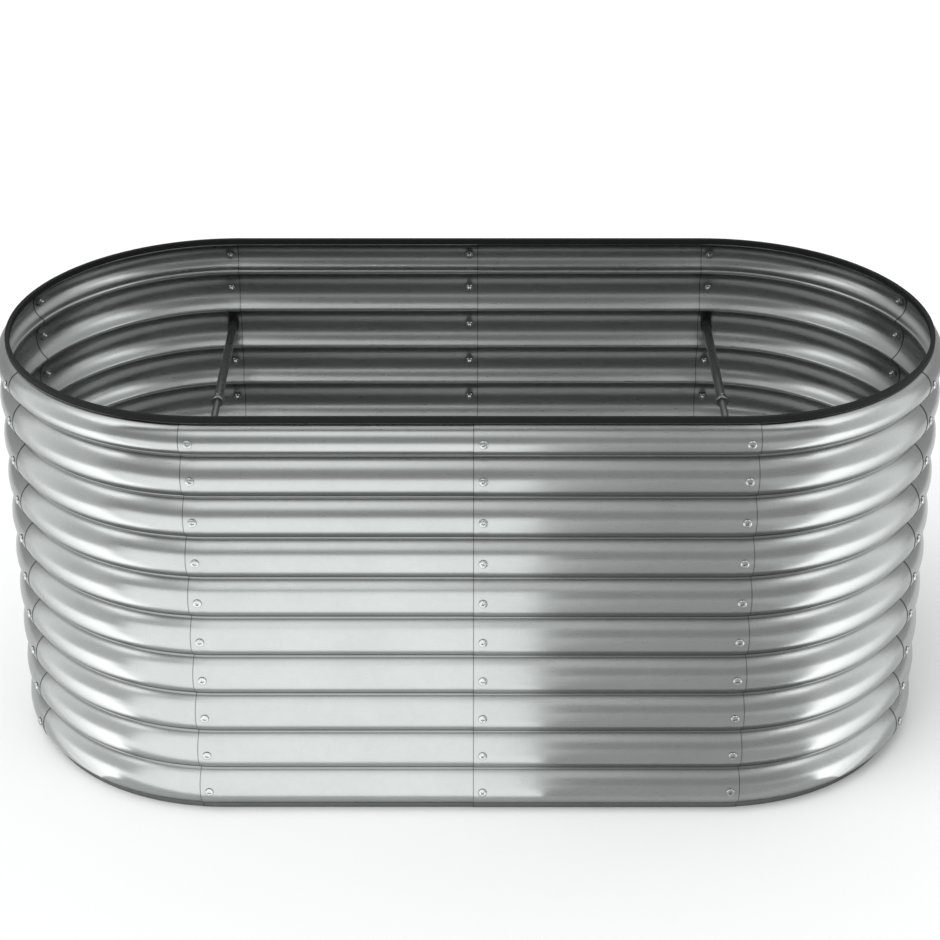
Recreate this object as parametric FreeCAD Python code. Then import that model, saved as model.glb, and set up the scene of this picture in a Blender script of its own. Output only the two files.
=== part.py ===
import FreeCAD, Part
import math
import os

# Oval raised garden bed: ten corrugated sheet panels bolted into a ring, open at the top and bottom,
# with a rubber edging on the rim and two telescoping tie rods across the width.
# Millimetres, +Z up, +X along the length, +Y towards the back. Origin: middle of the oval, on the ground.

# Plan of the oval, to the inner face of the innermost sheet, in a valley between two ribs
straight_half = 338.0        # from the middle to where the left round end starts
end_radius = 286.0           # radius of the round ends, which is half the inner width

# Corrugated sheet
sheet = 0.6                  # thickness
rib_count = 10
rib_pitch = 60.0             # height of each rib but the top one
top_rib_pitch = 46.0
rib_depth = 16.0             # crest to valley
valley_radius = 4.0          # bend of the innermost sheet in a valley
crest_folds = 6              # folds that make the round of a crest, with a flat for the bolts in its middle
valley_folds = 2             # folds that make the round of a valley
bottom_lip = 6.0             # flat strip under the lowest rib
top_lip = 6.0                # flat strip over the top rib, inside the edging

# Seams between panels
lap_width = 26.0             # overlap of two panels, with the bolts in its middle
corner_seam_offset = 16.0    # from where a round end starts to the seam of its corner
end_seam_angle = 26.0        # seams of an end panel, each side of the bed's long axis, degrees
front_seam_x = 17.0          # seam in the middle of the front wall
back_seam_x = -1.0           # seam in the middle of the back wall

# Bolts and nuts
bolt_radius = 3.0
bolt_clearance = 0.25        # round a bolt in its hole
bolt_reach = 9.5             # from the inner sheet to the bolt's end
head_radius = 6.0
head_height = 2.6
nut_across_flats = 10.0
nut_height = 5.0

# Rubber edging
edging_wall = 2.0
edging_slack = 0.2           # between the edging and the sheets, on each side

# Tie rods
rod_rib = 3                  # the rib that holds the rods, counted from the top
outer_tube_radius = 6.35
outer_tube_wall = 1.2
inner_tube_wall = 1.0
tube_slack = 0.15            # between the inner tube and the outer one
tube_end_y = 43.0            # where the outer tube stops
tube_overlap = 90.0          # length of the inner tube inside the outer one
collar_radius = 8.5
collar_grip = 9.0            # length of the collar on the outer tube
collar_nose = 3.0            # length of the collar on the inner tube
set_screw_radius = 2.0
set_screw_stand = 2.0        # what shows of the set screw over the collar
sleeve_length = 14.0
sleeve_wall = 1.6
insert_length = 18.0         # threaded insert in a tube's end

# How far out each panel lies, in sheets, so that lapped panels touch
LEVELS = {
    "corner_front_left": 0,
    "front_left": 1,
    "front_right": 2,
    "corner_front_right": 1,
    "end_right": 2,
    "corner_back_right": 1,
    "back_right": 2,
    "back_left": 1,
    "corner_back_left": 0,
    "end_left": 1,
}
LEFT, RIGHT = -1, 1
FRONT, BACK = -1, 1
END_NAMES = {LEFT: "left", RIGHT: "right"}
SIDE_NAMES = {FRONT: "front", BACK: "back"}
UP = FreeCAD.Vector(0, 0, 1)
ORIGIN = FreeCAD.Vector(0, 0, 0)

crest = end_radius + rib_depth
sheet_layers = max(LEVELS.values()) + 1
bolt_length = 2 * sheet + bolt_reach
nut_corner = nut_across_flats / math.sqrt(3)
seam_turn = math.degrees(math.asin(corner_seam_offset / crest))
lap_turn = math.degrees(lap_width / 2 / crest)


def point(x, y, z):
    return FreeCAD.Vector(x, y, z)


def valley_heights():
    """Heights of the valleys from the ground up, one more than there are ribs."""
    heights = [bottom_lip + number * rib_pitch for number in range(rib_count)]
    return heights + [heights[-1] + top_rib_pitch]


valleys = valley_heights()
wall_height = valleys[-1] + top_lip


class Rib:
    """One rib, counted from the ground from 0: its middle height, its flank's turn and its crest's bend."""

    def __init__(self, number):
        low, high = valleys[number], valleys[number + 1]
        half = (high - low) / 2
        self.middle = (low + high) / 2
        self.turn = 2 * math.atan2(rib_depth, half)
        self.bend = half / math.sin(self.turn) - valley_radius

    def crest_line(self, offset):
        """The folds of the crest at an offset from the innermost face, from the lower flank up."""
        centre = (rib_depth - self.bend, self.middle)
        return folds(centre, self.bend + offset, -self.turn, self.turn, crest_folds)

    def intrusion(self, offset, reach):
        """How far the flats beside the one on the crest reach in, at a distance from the crest's middle."""
        step = 2 * self.turn / crest_folds
        flat = (self.bend + offset) * math.tan(step / 2)
        return max(0, reach - flat) * math.tan(step)


def folds(centre, radius, start, stop, count):
    """The folds that turn a sheet from one angle to another, with its flats touching an arc."""
    step = (stop - start) / count
    reach = radius / math.cos(step / 2)
    angles = [start + (number + 0.5) * step for number in range(count)]
    return [(centre[0] + reach * math.cos(angle), centre[1] + reach * math.sin(angle)) for angle in angles]


ribs = [Rib(number) for number in range(rib_count)]


def valley_line(offset, height, below, above):
    """The folds in a valley, from the turn of the flank below to the turn of the flank above."""
    count = valley_folds if below and above else valley_folds // 2
    centre = (valley_radius, height)
    return folds(centre, valley_radius - offset, math.pi + below, math.pi - above, count)


def skin(offset):
    """The corrugated line at an offset from the innermost face, from the ground up, as (out, height)."""
    line = [(offset, 0)]
    below = 0
    for rib, height in zip(ribs, valleys):
        line += valley_line(offset, height, below, rib.turn) + rib.crest_line(offset)
        below = rib.turn
    line += valley_line(offset, valleys[-1], below, 0)
    return line + [(offset, wall_height)]


def filled(line, place):
    """The face inside a line of (out, height), drawn by place(out, height)."""
    return Part.Face(Part.makePolygon([place(*spot) for spot in line + line[:1]]))


def sheet_face(level, place):
    """The cut edge of a panel."""
    return filled(skin(level * sheet) + skin((level + 1) * sheet)[::-1], place)


def end_centre(end):
    """X of a round end's axis. Each end is drawn in by its innermost sheet, so both reach equally far."""
    return end * (straight_half - (LEVELS["end_" + END_NAMES[end]] - LEVELS["end_left"]) * sheet)


def quadrant(end, side, low, high):
    """Turn angles above the long axis, in degrees, into a span about a round end's axis."""
    if end == RIGHT:
        return (low, high) if side == BACK else (-high, -low)
    return (180 - high, 180 - low) if side == BACK else (180 + low, 180 + high)


def turned(face, end, span):
    """A face in the XZ plane, swept about a round end's axis over a span of degrees."""
    start, stop = span
    face.rotate(ORIGIN, UP, start)
    solid = face.revolve(ORIGIN, UP, stop - start)
    solid.translate(point(end_centre(end), 0, 0))
    return solid


def round_wall(level, end, span):
    return turned(sheet_face(level, lambda out, z: point(end_radius + out, 0, z)), end, span)


def straight_wall(level, side, x_from, x_to):
    face = sheet_face(level, lambda out, z: point(x_from, side * (end_radius + out), z))
    return face.extrude(point(x_to - x_from, 0, 0))


class Seam:
    """A column of bolts, with the panels that it joins and the line it stands on."""

    def __init__(self, name, inner, outer):
        self.name = name
        self.inner = LEVELS[inner] * sheet
        self.outer = (LEVELS[outer] + 1) * sheet
        self.panels = (inner, outer)
        self.end = None
        self.skew = 0
        self.holds_rod = False

    def in_wall(self, side, x):
        """On a straight wall."""
        self.foot = point(x, side * crest, 0)
        self.out = point(0, side, 0)
        return self

    def in_corner(self, end, side):
        """Just round the corner, square to the long walls, so that a tie rod can take its bolts."""
        self.end = end
        self.skew = corner_seam_offset
        self.holds_rod = True
        x = end_centre(end) + end * corner_seam_offset
        self.foot = point(x, side * math.sqrt(crest**2 - corner_seam_offset**2), 0)
        self.out = point(0, side, 0)
        self.span = quadrant(end, side, 90 - seam_turn - lap_turn, 90 - seam_turn + lap_turn)
        return self

    def in_end(self, end, side):
        """At the edge of an end panel, square to the sheet."""
        self.end = end
        self.span = quadrant(end, side, end_seam_angle - lap_turn, end_seam_angle + lap_turn)
        angle = math.radians(sum(self.span) / 2)
        self.out = point(math.cos(angle), math.sin(angle), 0)
        self.foot = point(end_centre(end), 0, 0) + self.out * crest
        return self

    def spot(self, rib, distance):
        """A point on a bolt's axis, at a distance out from the crest of the innermost face."""
        return self.foot + self.out * distance + UP * rib.middle

    def rod(self, radius, rib, start, stop):
        """A round bar on a bolt's axis, between two distances out from the crest."""
        return Part.makeCylinder(radius, stop - start, self.spot(rib, start), self.out)

    def placed(self, piece, rib, distance):
        """A piece made along Z, turned to point outwards and put on a bolt's axis."""
        copy = piece.copy()
        copy.Placement = FreeCAD.Placement(
            self.spot(rib, distance), FreeCAD.Rotation(UP.cross(self.out), UP, self.out, "ZXY")
        )
        return copy

    def level_change(self, along):
        """How far the crest stands out at a distance along the wall, compared with the bolt's axis."""
        if self.end is None:
            return 0
        return math.sqrt(crest**2 - (self.skew + along) ** 2) - math.sqrt(crest**2 - self.skew**2)

    def rise(self, radius):
        """The highest that the crest stands under a flat head."""
        return max(0, self.level_change(-radius))

    def fall(self, radius):
        """The lowest that the crest lies over a flat nut."""
        return -self.level_change(radius)

    def beyond(self, rib):
        """What lies outside the inner face at a corner seam, cut away from pieces that bed on it."""
        line = rib.crest_line(self.inner)
        far = rib_depth + self.outer + rib_depth
        line += [(far, line[-1][1]), (far, line[0][1])]
        face = filled(line, lambda out, z: point(end_radius + out, 0, z))
        return turned(face, self.end, self.span)


def corner_name(end, side):
    return "corner_" + SIDE_NAMES[side] + "_" + END_NAMES[end]


def all_seams():
    seams = [
        Seam("front_middle", "front_left", "front_right").in_wall(FRONT, front_seam_x),
        Seam("back_middle", "back_left", "back_right").in_wall(BACK, back_seam_x),
    ]
    for end, end_name in END_NAMES.items():
        for side, side_name in SIDE_NAMES.items():
            corner = corner_name(end, side)
            wall = side_name + "_" + end_name
            seams.append(Seam(wall + "_corner", corner, wall).in_corner(end, side))
            seams.append(Seam(end_name + "_end_" + side_name, corner, "end_" + end_name).in_end(end, side))
    return {seam.name: seam for seam in seams}


seams = all_seams()
rod_place = ribs[rib_count - rod_rib]


def drilled(panel, name):
    """A panel with the bolt holes of its two seams."""
    holes = []
    for seam in seams.values():
        if name in seam.panels:
            radius = bolt_radius + bolt_clearance
            holes += [seam.rod(radius, rib, -sheet, seam.outer + sheet) for rib in ribs]
    return panel.cut(holes)


def corner_panel(end, side):
    name = corner_name(end, side)
    span = quadrant(end, side, end_seam_angle - lap_turn, 90 - seam_turn + lap_turn)
    return name, round_wall(LEVELS[name], end, span)


def end_panel(end):
    name = "end_" + END_NAMES[end]
    reach = end_seam_angle + lap_turn
    middle = 0 if end == RIGHT else 180
    return name, round_wall(LEVELS[name], end, (middle - reach, middle + reach))


def wall_panel(end, side, seam_x):
    """A straight panel that runs on round the start of the corner, as far as its lap."""
    name = SIDE_NAMES[side] + "_" + END_NAMES[end]
    level = LEVELS[name]
    inner_edge = seam_x - end * lap_width / 2
    low, high = sorted((inner_edge, end_centre(end)))
    tail = round_wall(level, end, quadrant(end, side, 90 - seam_turn - lap_turn, 90))
    return name, straight_wall(level, side, low, high).fuse(tail)


def bolt():
    """A pan-head bolt standing on the underside of its head."""
    shank = Part.makeCylinder(bolt_radius, bolt_length, point(0, 0, -bolt_length))
    return Part.makeCylinder(head_radius, head_height).fuse(shank)


def nut():
    """A hexagon nut with its bearing face up, two of its flats along X."""
    corners = []
    for number in range(7):
        angle = math.radians(60 * number)
        corners.append(point(nut_corner * math.cos(angle), nut_corner * math.sin(angle), -nut_height))
    return Part.Face(Part.makePolygon(corners)).extrude(UP * nut_height).cut(
        Part.makeCylinder(bolt_radius, nut_height, point(0, 0, -nut_height))
    )


def seam_bolts(seam):
    """Bolts on the outer sheet."""
    seat = seam.outer + seam.rise(head_radius)
    return Part.makeCompound([seam.placed(bolt(), rib, seat) for rib in ribs])


def seam_nuts(seam):
    """Nuts on the inner sheet, without the place where a tie rod takes the bolt."""
    nuts = []
    for rib in ribs:
        if not (seam.holds_rod and rib is rod_place):
            intrusion = rib.intrusion(seam.inner, nut_across_flats / 2)
            nuts.append(seam.placed(nut(), rib, seam.inner - intrusion - seam.fall(nut_corner)))
    return Part.makeCompound(nuts)


def oval(radius, low, high):
    """A block with the bed's oval outline."""
    x = straight_half
    outline = [
        Part.LineSegment(point(-x, -radius, low), point(x, -radius, low)).toShape(),
        Part.Arc(point(x, -radius, low), point(x + radius, 0, low), point(x, radius, low)).toShape(),
        Part.LineSegment(point(x, radius, low), point(-x, radius, low)).toShape(),
        Part.Arc(point(-x, radius, low), point(-x - radius, 0, low), point(-x, -radius, low)).toShape(),
    ]
    return Part.Face(Part.Wire(outline)).extrude(UP * (high - low))


def rim_edging():
    """A U of rubber pushed down over the sheets' top edges."""
    low, high = wall_height - top_lip, wall_height + edging_wall
    slot_inner = end_radius - edging_slack
    slot_outer = end_radius + sheet_layers * sheet + edging_slack
    strip = oval(slot_outer + edging_wall, low, high).cut(oval(slot_inner - edging_wall, low, high))
    return strip.cut(oval(slot_outer, low, wall_height).cut(oval(slot_inner, low, wall_height)))


class TieRod:
    """A rod across one end of the bed: a thick tube from the back wall, a thin one from the front wall."""

    def __init__(self, end):
        self.name = "tie_" + END_NAMES[end] + "_"
        self.back = seams["back_" + END_NAMES[end] + "_corner"]
        self.front = seams["front_" + END_NAMES[end] + "_corner"]
        self.inner_radius = outer_tube_radius - outer_tube_wall - tube_slack

    def bar(self, radius, y_from, y_to):
        """A round bar on the rod's line."""
        start = point(self.back.foot.x, y_from, rod_place.middle)
        return Part.makeCylinder(radius, y_to - y_from, start, point(0, 1, 0))

    def tube(self, radius, bore, y_from, y_to):
        return self.bar(radius, y_from, y_to).cut(self.bar(bore, y_from, y_to))

    def at_wall(self, seam, radius, bore, length):
        """A tube of a length, bedded on the inner sheet at one of the rod's two seams."""
        ends = sorted((seam.foot.y - seam.out.y * length, seam.foot.y + seam.out.y * seam.outer))
        return self.tube(radius, bore, *ends).cut(seam.beyond(rod_place))

    def set_screw(self):
        """The screw in the collar, from the inner tube out."""
        foot = point(self.back.foot.x, tube_end_y + collar_grip / 2, rod_place.middle)
        length = collar_radius + set_screw_stand
        screw = Part.makeCylinder(set_screw_radius, length, foot, UP)
        return screw.cut(self.bar(self.inner_radius, tube_end_y, tube_end_y + collar_grip))

    def pieces(self):
        bore = outer_tube_radius - outer_tube_wall
        inner_bore = self.inner_radius - inner_tube_wall
        outer_length = self.back.foot.y - tube_end_y
        inner_length = tube_end_y + tube_overlap - self.front.foot.y
        screw = self.set_screw()
        grip = self.tube(collar_radius, outer_tube_radius, tube_end_y, tube_end_y + collar_grip)
        nose = self.tube(collar_radius, self.inner_radius, tube_end_y - collar_nose, tube_end_y)
        return {
            "outer_tube": self.at_wall(self.back, outer_tube_radius, bore, outer_length).cut(screw),
            "inner_tube": self.at_wall(self.front, self.inner_radius, inner_bore, inner_length),
            "collar": grip.fuse(nose).removeSplitter().cut(screw),
            "set_screw": screw,
            "back_insert": self.at_wall(self.back, bore, bolt_radius, insert_length),
            "front_insert": self.at_wall(self.front, inner_bore, bolt_radius, insert_length),
            "back_sleeve": self.at_wall(
                self.back, outer_tube_radius + sleeve_wall, outer_tube_radius, sleeve_length
            ),
            "front_sleeve": self.at_wall(
                self.front, self.inner_radius + sleeve_wall, self.inner_radius, sleeve_length
            ),
        }


def all_nodes():
    nodes = {"rim_edging": rim_edging()}
    panels = []
    for end in END_NAMES:
        panels.append(end_panel(end))
        for side, seam_x in ((FRONT, front_seam_x), (BACK, back_seam_x)):
            panels.append(corner_panel(end, side))
            panels.append(wall_panel(end, side, seam_x))
    for name, panel in panels:
        nodes["panel_" + name] = drilled(panel, name)
    for name, seam in seams.items():
        nodes["bolts_" + name] = seam_bolts(seam)
        nodes["nuts_" + name] = seam_nuts(seam)
    for end in END_NAMES:
        rod = TieRod(end)
        for name, piece in rod.pieces().items():
            nodes[rod.name + name] = piece
    return nodes


os.makedirs("parts", exist_ok=True)
for name, shape in all_nodes().items():
    shape.exportStep("parts/" + name + ".step")
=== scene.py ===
import math

import bmesh
import bpy
from bpy.props import FloatProperty, FloatVectorProperty, IntProperty, PointerProperty
from mathutils import Matrix, Vector


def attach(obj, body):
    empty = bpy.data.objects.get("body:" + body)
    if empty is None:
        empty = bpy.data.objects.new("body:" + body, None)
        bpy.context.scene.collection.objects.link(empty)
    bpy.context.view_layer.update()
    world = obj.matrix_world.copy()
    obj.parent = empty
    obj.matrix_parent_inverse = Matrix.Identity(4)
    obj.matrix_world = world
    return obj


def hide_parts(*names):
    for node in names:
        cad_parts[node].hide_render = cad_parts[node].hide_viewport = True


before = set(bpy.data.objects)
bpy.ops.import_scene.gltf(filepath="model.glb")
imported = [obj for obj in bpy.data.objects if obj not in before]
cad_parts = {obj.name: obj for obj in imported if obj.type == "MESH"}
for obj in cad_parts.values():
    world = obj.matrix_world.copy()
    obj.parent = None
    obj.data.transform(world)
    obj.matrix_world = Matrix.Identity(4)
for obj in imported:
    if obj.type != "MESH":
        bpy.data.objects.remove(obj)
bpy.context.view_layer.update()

bl_info = {
    "name": "Corrugated Garden Bed",
    "version": (1, 0, 0),
    "blender": (4, 5, 0),
    "location": "3D View > Sidebar > Garden Bed",
    "description": "Dresses the frame of an oval corrugated steel garden bed",
    "category": "Add Mesh",
}

MM = 0.001
BODY = "root"
UP = Vector((0, 0, 1))
ENDS = {"left": -1, "right": 1}
SIDES = {"front": -1, "back": 1}

# How far out each panel lies, in sheets, so that lapped panels touch
LEVELS = {
    "corner_front_left": 0,
    "front_left": 1,
    "front_right": 2,
    "corner_front_right": 1,
    "end_right": 2,
    "corner_back_right": 1,
    "back_right": 2,
    "back_left": 1,
    "corner_back_left": 0,
    "end_left": 1,
}


def linear(hex_colour):
    """An sRGB hex colour as linear red, green, blue and alpha."""
    parts = [int(hex_colour[start:start + 2], 16) / 255 for start in (1, 3, 5)]
    return [part / 12.92 if part <= 0.04045 else ((part + 0.055) / 1.055) ** 2.4 for part in parts] + [1.0]


def length(name, millimetres, description):
    return FloatProperty(name=name, description=description, default=millimetres * MM, unit="LENGTH", min=0)


def colour(name, hex_colour, description):
    return FloatVectorProperty(
        name=name,
        description=description,
        default=linear(hex_colour),
        size=4,
        subtype="COLOR",
        min=0,
        max=1,
    )


class SheetSettings(bpy.types.PropertyGroup):
    """Plan and corrugation of the sheet panels."""

    straight_half: length("Straight half", 338, "From the middle to where the round ends start")
    end_radius: length("End radius", 286, "Half the inner width, in a valley")
    thickness: length("Sheet thickness", 0.6, "Thickness of one sheet")
    rib_count: IntProperty(name="Ribs", description="Ribs from the ground to the rim", default=10, min=2)
    rib_pitch: length("Rib pitch", 60, "Height of each rib but the top one")
    top_rib_pitch: length("Top rib pitch", 46, "Height of the top rib")
    rib_depth: length("Rib depth", 16, "Crest to valley")
    valley_radius: length("Valley radius", 4, "Bend of the innermost sheet in a valley")
    bottom_lip: length("Bottom lip", 6, "Flat strip under the lowest rib")
    top_lip: length("Top lip", 6, "Flat strip over the top rib")
    lap_width: length("Lap width", 26, "Overlap of two panels")
    corner_seam_offset: length(
        "Corner seam offset", 16, "From the start of a round end to its corner's seam"
    )
    end_seam_angle: FloatProperty(
        name="End seam angle",
        description="Seams of an end panel, each side of the long axis",
        default=math.radians(26),
        subtype="ANGLE",
    )
    front_seam_x: FloatProperty(
        name="Front seam", description="Place of the seam in the front wall", default=17 * MM, unit="LENGTH"
    )
    back_seam_x: FloatProperty(
        name="Back seam", description="Place of the seam in the back wall", default=-1 * MM, unit="LENGTH"
    )
    zinc: colour("Zinc", "#A1A4A3", "Colour of the galvanised sheet")
    dull_zinc: colour("Dull zinc", "#959897", "Colour of the duller spangles")


class FastenerSettings(bpy.types.PropertyGroup):
    """Bolts and nuts along the seams."""

    bolt_radius: length("Bolt radius", 3, "Radius of the thread")
    bolt_reach: length("Bolt reach", 9.5, "From the inner sheet to the bolt's end")
    head_radius: length("Head radius", 6, "Radius of the pan head")
    head_height: length("Head height", 2.6, "Height of the pan head")
    nut_across_flats: length("Nut across flats", 10, "Size of the hexagon nut")
    nut_height: length("Nut height", 5, "Height of the nut")
    plating: colour("Plating", "#B4B8B7", "Colour of the plated steel")


class EdgingSettings(bpy.types.PropertyGroup):
    """The rubber strip on the rim."""

    wall: length("Wall", 2, "Thickness of the rubber")
    slack: length("Slack", 0.2, "Between the rubber and the sheets")
    rubber: colour("Rubber", "#101111", "Colour of the rubber")


class RodSettings(bpy.types.PropertyGroup):
    """The tie rods across the bed."""

    rib: IntProperty(
        name="Rib", description="The rib that holds the rods, counted from the top", default=3, min=1
    )
    outer_radius: length("Wide tube radius", 6.35, "Radius of the wide tube")
    outer_wall: length("Wide tube wall", 1.2, "Wall of the wide tube")
    inner_wall: length("Thin tube wall", 1, "Wall of the thin tube")
    slack: length("Slack", 0.15, "Between the tubes")
    outer_end: FloatProperty(
        name="End of the wide tube", description="Where the wide tube stops", default=43 * MM, unit="LENGTH"
    )
    overlap: length("Overlap", 90, "Length of the thin tube inside the wide one")
    collar_radius: length("Collar radius", 8.5, "Radius of the clamp collar")
    collar_grip: length("Collar grip", 9, "Length of the collar on the wide tube")
    collar_nose: length("Collar nose", 3, "Length of the collar on the thin tube")
    screw_radius: length("Screw radius", 2, "Radius of the collar's screw")
    screw_stand: length("Screw stand", 2, "What shows of the screw over the collar")
    sleeve_length: length("Sleeve length", 14, "Length of the rubber sleeves")
    sleeve_wall: length("Sleeve wall", 1.6, "Wall of the rubber sleeves")
    tube: colour("Tube", "#8D9290", "Colour of the tubes")
    screw: colour("Screw", "#C4C8C7", "Colour of the collar's screw")
    rubber: colour("Sleeve", "#161817", "Colour of the rubber sleeves")


class StageSettings(bpy.types.PropertyGroup):
    """Camera, floor and lights."""

    camera_distance: length(
        "Camera distance", 2927.6, "From the bed's middle to the camera, along the ground"
    )
    camera_height: length("Camera height", 1947.4, "From the ground to the camera")
    camera_pitch: FloatProperty(
        name="Camera pitch",
        description="How far the camera looks down",
        default=math.radians(28.318),
        subtype="ANGLE",
    )
    focal_length: FloatProperty(
        name="Focal length",
        description="Lens of the camera on a 36 mm wide frame, in millimetres",
        default=90.74,
    )
    floor: colour("Floor", "#F4F5F5", "Colour of the floor")
    sky: colour("Surroundings", "#FBFCFC", "Colour of the studio round the bed")
    fill: FloatProperty(
        name="Fill", description="Strength of the soft light from all round", default=0.80
    )
    key: FloatProperty(name="Key", description="Strength of the lamp above", default=1.5)
    card_glow: FloatProperty(name="Card glow", description="Strength of the bright cards", default=2.2)
    flag_glow: FloatProperty(name="Flag glow", description="Strength of the grey flags", default=0.55)
    card_edge: FloatProperty(
        name="Card edge", description="Right edge of the bright cards", default=0.10, unit="LENGTH"
    )


# --- Node helpers ---


def add_node(tree, kind, links=None, **settings):
    """Adds a node with its settings. Links maps an input's name or number to a socket or a value."""
    node = tree.nodes.new(kind)
    for name, value in settings.items():
        setattr(node, name, value)
    for key, source in (links or {}).items():
        socket = node.inputs[key]
        if isinstance(source, bpy.types.NodeSocket):
            tree.links.new(source, socket)
        else:
            socket.default_value = source
    return node


# Where most of a noise's values lie
NOISE_SPAN = (0.3, 0.7)


def new_material(name):
    """A material and its empty tree."""
    material = bpy.data.materials.new(name)
    material.use_nodes = True
    material.node_tree.nodes.clear()
    return material, material.node_tree


def noise(tree, place, size, detail=2.0, roughness=0.5):
    """Soft blotches of about a size, between 0 and 1."""
    links = {"Vector": place, "Scale": 1 / size, "Detail": detail, "Roughness": roughness}
    return add_node(tree, "ShaderNodeTexNoise", links).outputs["Fac"]


def remap(tree, value, span, result, kind="LINEAR"):
    """Takes a span of values to another, and holds what lies outside it."""
    links = {0: value, 1: span[0], 2: span[1], 3: result[0], 4: result[1]}
    return add_node(tree, "ShaderNodeMapRange", links, interpolation_type=kind).outputs[0]


def maths(tree, operation, *values):
    """The result of a step of arithmetic."""
    return add_node(tree, "ShaderNodeMath", dict(enumerate(values)), operation=operation).outputs[0]


def blend(tree, share, first, second):
    """A mix of two colours."""
    links = {0: share, 6: first, 7: second}
    return add_node(tree, "ShaderNodeMix", links, data_type="RGBA").outputs[2]


def scaled(paint, factor):
    """A colour made lighter or darker."""
    return [part * factor for part in paint[:3]] + [1.0]


def relief(tree, height, strength, depth):
    """The normals of a surface with a grain of a depth."""
    links = {"Strength": strength, "Distance": depth, "Height": height}
    return add_node(tree, "ShaderNodeBump", links).outputs[0]


def attribute(tree, name):
    """A value that the geometry carries."""
    return add_node(tree, "ShaderNodeAttribute", attribute_name=name).outputs["Fac"]


def shade_with(tree, kind, links):
    """Ends a material with a shader."""
    shader = add_node(tree, kind, links)
    add_node(tree, "ShaderNodeOutputMaterial", {0: shader.outputs[0]})


def galvanised_sheet(name, zinc, dull_zinc):
    """Hot-dip galvanised steel sheet: a soft grey gloss, with faint crystals and rolling marks, and painted
    shade in the valleys, under the ribs and along the cut edges.
    """
    material, tree = new_material(name)
    coordinates = add_node(tree, "ShaderNodeTexCoord").outputs
    place = coordinates["Object"]
    crystal_size, crystal_share = 9 * MM, 0.15
    crystals = add_node(tree, "ShaderNodeTexVoronoi", {"Vector": place, "Scale": 1 / crystal_size})
    crystal = add_node(tree, "ShaderNodeSeparateColor", {0: crystals.outputs["Color"]})
    cloud = noise(tree, place, size=120 * MM, detail=3.0, roughness=0.55)
    tone = maths(tree, "MULTIPLY_ADD", crystal.outputs[0], crystal_share, cloud)
    metal = blend(tree, tone, zinc, dull_zinc)
    # Level marks from the mill's rolls change the gloss
    flattened = add_node(tree, "ShaderNodeMapping", {"Vector": place, "Scale": (1.0, 1.0, 14.0)})
    marks = noise(tree, flattened.outputs[0], size=30 * MM, detail=4.0)
    # Painted shade: the zinc is darkened deep in the valleys outside and on faces that look down under the
    # ribs, and a painted shadow runs in a thin dark band along each cut edge
    depth = attribute(tree, "outside_depth")
    # Painted shade deep in the outer valleys, by the depth of the sheet there
    valley_painted_shade = remap(tree, depth, (1.5 * MM, 5 * MM), (0.6, 1.0), kind="SMOOTHSTEP")
    # Painted shade on faces that look down, under the ribs
    facing = add_node(tree, "ShaderNodeSeparateXYZ", {0: coordinates["Normal"]})
    under = remap(tree, facing.outputs["Z"], (-0.8, -0.4), (0.65, 1.0))
    # Painted shadow in a thin dark band along each cut edge
    edge_painted_shadow = remap(tree, attribute(tree, "edge_distance"), (0.6 * MM, 1.6 * MM), (0.35, 1.0))
    # The zinc colour darkened by all the painted shade
    shade = maths(tree, "MULTIPLY", maths(tree, "MULTIPLY", valley_painted_shade, under), edge_painted_shadow)
    painted_shade_zinc = add_node(tree, "ShaderNodeVectorMath", {0: metal, 3: shade}, operation="SCALE")
    grain = noise(tree, place, size=1.5 * MM)
    shade_with(
        tree,
        "ShaderNodeBsdfPrincipled",
        {
            "Base Color": painted_shade_zinc.outputs[0],
            "Metallic": 1.0,
            "Roughness": remap(tree, marks, NOISE_SPAN, (0.27, 0.30)),
            "Normal": relief(tree, grain, strength=0.01, depth=0.2 * MM),
        },
    )
    return material


def plated_steel(name, plating, rough):
    """Bright zinc-plated steel: a cool gloss with a fine grain from the bath."""
    material, tree = new_material(name)
    place = add_node(tree, "ShaderNodeTexCoord").outputs["Object"]
    cloud = noise(tree, place, size=6 * MM, detail=3.0)
    grain = noise(tree, place, size=0.8 * MM)
    shade_with(
        tree,
        "ShaderNodeBsdfPrincipled",
        {
            "Base Color": blend(tree, cloud, plating, scaled(plating, 0.7)),
            "Metallic": 1.0,
            "Roughness": remap(tree, cloud, NOISE_SPAN, (rough - 0.06, rough + 0.06)),
            "Normal": relief(tree, grain, strength=0.08, depth=0.1 * MM),
        },
    )
    return material


def dull_rubber(name, rubber):
    """Black rubber: a dull skin with a little dust and a fine grain."""
    material, tree = new_material(name)
    place = add_node(tree, "ShaderNodeTexCoord").outputs["Object"]
    dust = noise(tree, place, size=25 * MM, detail=4.0)
    grain = noise(tree, place, size=0.7 * MM)
    shade_with(
        tree,
        "ShaderNodeBsdfPrincipled",
        {
            "Base Color": blend(tree, dust, rubber, scaled(rubber, 1.7)),
            "Roughness": 0.75,
            "IOR": 1.3,
            "Normal": relief(tree, grain, strength=0.25, depth=0.1 * MM),
        },
    )
    return material


def node_group(name, inputs):
    """A geometry node group with named inputs of the given kinds beside its geometry."""
    tree = bpy.data.node_groups.new(name, "GeometryNodeTree")
    tree.interface.new_socket("Geometry", in_out="INPUT", socket_type="NodeSocketGeometry")
    for label, kind in inputs.items():
        tree.interface.new_socket(label, in_out="INPUT", socket_type=kind)
    tree.interface.new_socket("Geometry", in_out="OUTPUT", socket_type="NodeSocketGeometry")
    start = add_node(tree, "NodeGroupInput")
    return tree, start.outputs


def closed_group(tree, last, finish):
    """Ends a geometry node group with a plain mesh in its finish."""
    real = add_node(tree, "GeometryNodeRealizeInstances", {0: last.outputs[0]})
    finished = add_node(tree, "GeometryNodeSetMaterial", {0: real.outputs[0], "Material": finish})
    add_node(tree, "NodeGroupOutput", {0: finished.outputs[0]})
    return tree


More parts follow.
